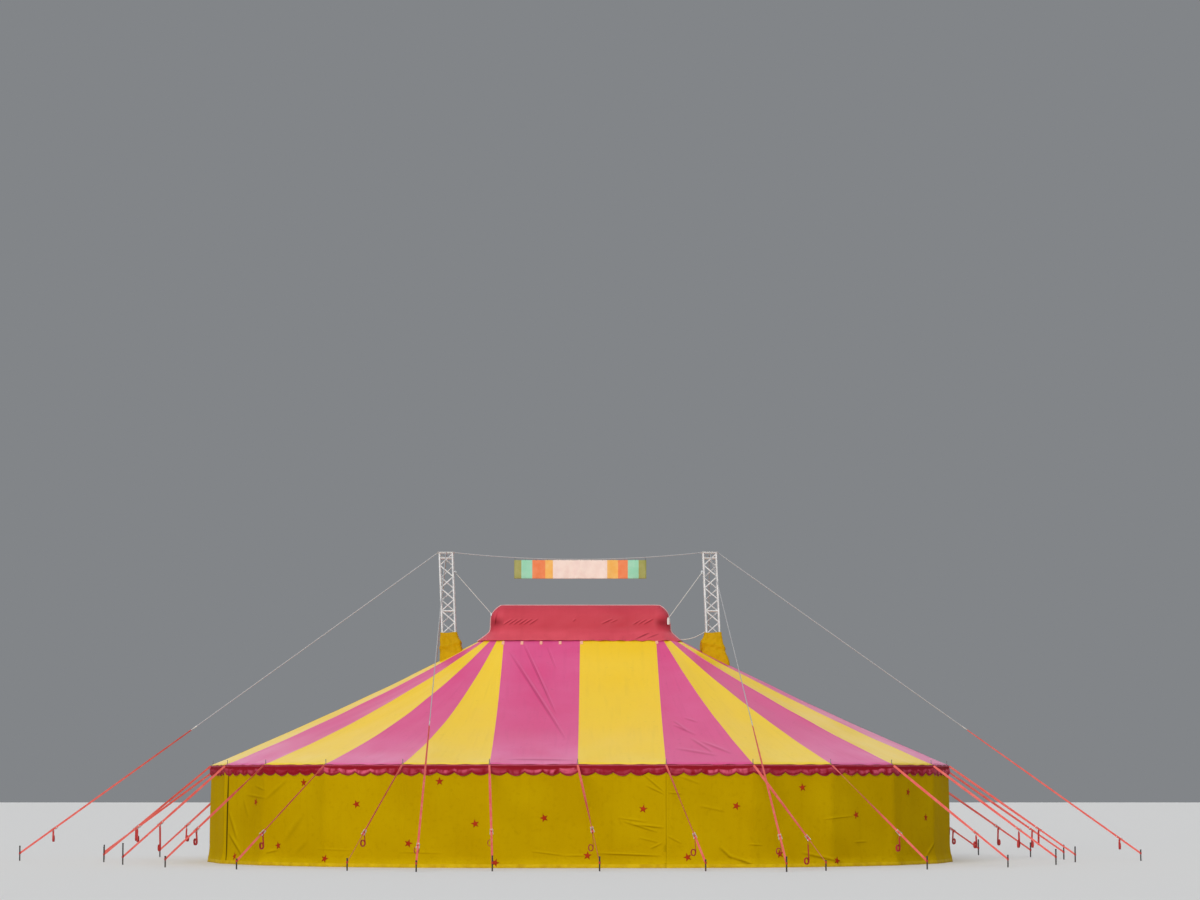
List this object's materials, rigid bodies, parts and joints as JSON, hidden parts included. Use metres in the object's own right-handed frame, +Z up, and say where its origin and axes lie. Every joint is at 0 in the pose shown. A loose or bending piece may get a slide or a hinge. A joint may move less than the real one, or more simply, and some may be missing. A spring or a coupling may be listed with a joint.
{
  "type": "circus big top tent",
  "caption": "Two-mast big top with striped canvas roof, scalloped valance, closed side walls, cupola, lattice masts, webbing guys and stakes.",
  "frame": {"origin": "on the ground at the centre of the plan, under the middle of the cupola", "axes": "+X along the long axis towards the right-hand mast seen from the front, -Y towards the front, +Z up"},
  "size_m": [29.8382, 22.644, 8.215],
  "materials": {
    "roof_yellow": "warm yellow coated canvas, slightly shiny",
    "roof_pink": "deep pink coated canvas, slightly shiny",
    "wall_canvas": "yellow coated wall canvas with small red-brown stars",
    "pole_steel": "galvanised steel tube, dull",
    "valance_red": "dark red scalloped canvas",
    "guy_webbing": "coral-red polyester webbing with steel ratchets and dark stakes",
    "mast_aluminium": "weathered welded aluminium lattice",
    "cupola_red": "faded red coated canvas",
    "cable_steel": "galvanised wire rope",
    "rope_pale": "pale synthetic rope",
    "banner_cloth": "light banner cloth in coloured upright bands"
  },
  "bodies": {
    "root": {"roof_panel_01": "roof_yellow", "roof_panel_02": "roof_pink", "roof_panel_03": "roof_yellow", "roof_panel_04": "roof_pink", "roof_panel_05": "roof_yellow", "roof_panel_06": "roof_pink", "roof_panel_07": "roof_yellow", "roof_panel_08": "roof_pink", "roof_panel_09": "roof_yellow", "roof_panel_10": "roof_pink", "roof_panel_11": "roof_yellow", "roof_panel_12": "roof_pink", "roof_panel_13": "roof_yellow", "roof_panel_14": "roof_pink", "roof_panel_15": "roof_yellow", "roof_panel_16": "roof_pink", "roof_panel_17": "roof_yellow", "roof_panel_18": "roof_pink", "roof_panel_19": "roof_yellow", "roof_panel_20": "roof_pink", "roof_panel_21": "roof_yellow", "roof_panel_22": "roof_pink", "roof_panel_23": "roof_yellow", "roof_panel_24": "roof_pink", "roof_panel_25": "roof_yellow", "roof_panel_26": "roof_pink", "roof_panel_07_top": "roof_yellow", "roof_panel_20_top": "roof_pink", "wall_front": "wall_canvas", "wall_right": "wall_canvas", "wall_back": "wall_canvas", "wall_left": "wall_canvas", "side_poles": "pole_steel", "valance": "valance_red", "eave_guys_front": "guy_webbing", "eave_guys_right": "guy_webbing", "eave_guys_back": "guy_webbing", "eave_guys_left": "guy_webbing", "mast_left": "mast_aluminium", "mast_guys_left": "guy_webbing", "mast_boot_left": "roof_yellow", "mast_right": "mast_aluminium", "mast_guys_right": "guy_webbing", "mast_boot_right": "roof_yellow", "cupola_frame": "pole_steel", "cupola_cover": "cupola_red", "hoist_line_left": "cable_steel", "hoist_line_right": "cable_steel", "slack_rope": "rope_pale", "ridge_cable": "cable_steel", "banner": "banner_cloth"}
  },
  "joints": []
}
